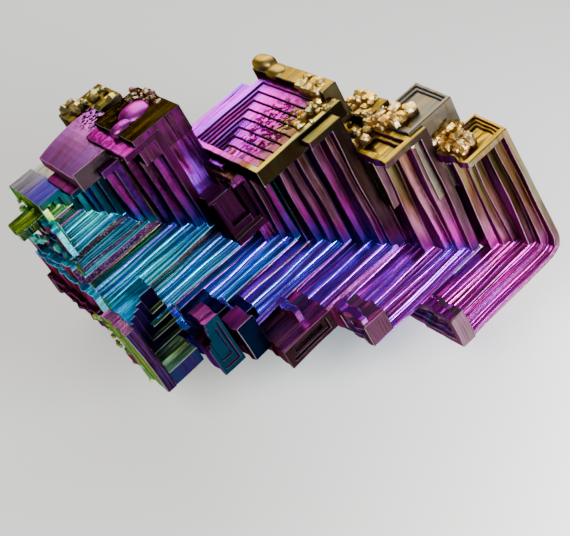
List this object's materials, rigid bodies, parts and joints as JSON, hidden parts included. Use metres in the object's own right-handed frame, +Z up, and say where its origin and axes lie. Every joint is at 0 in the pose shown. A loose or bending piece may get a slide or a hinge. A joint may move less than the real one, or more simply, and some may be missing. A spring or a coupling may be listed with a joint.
{
  "type": "bismuth hopper crystal",
  "caption": "Lab-grown skeletal crystal: stepped hopper corners in a row, with square towers behind them, lying on its own corners.",
  "frame": {"origin": "middle of the bounding box's bottom face, on the floor that the crystal rests on", "axes": "+Z up, +X along the row of hopper corners towards the largest corner, -Y towards the side of the terraces"},
  "size_m": [0.0446, 0.0268, 0.0217],
  "materials": {
    "bismuth_oxide": "satin metal under an iridescent oxide film"
  },
  "bodies": {
    "root": {"bismuth_crystal": "bismuth_oxide"}
  },
  "joints": []
}
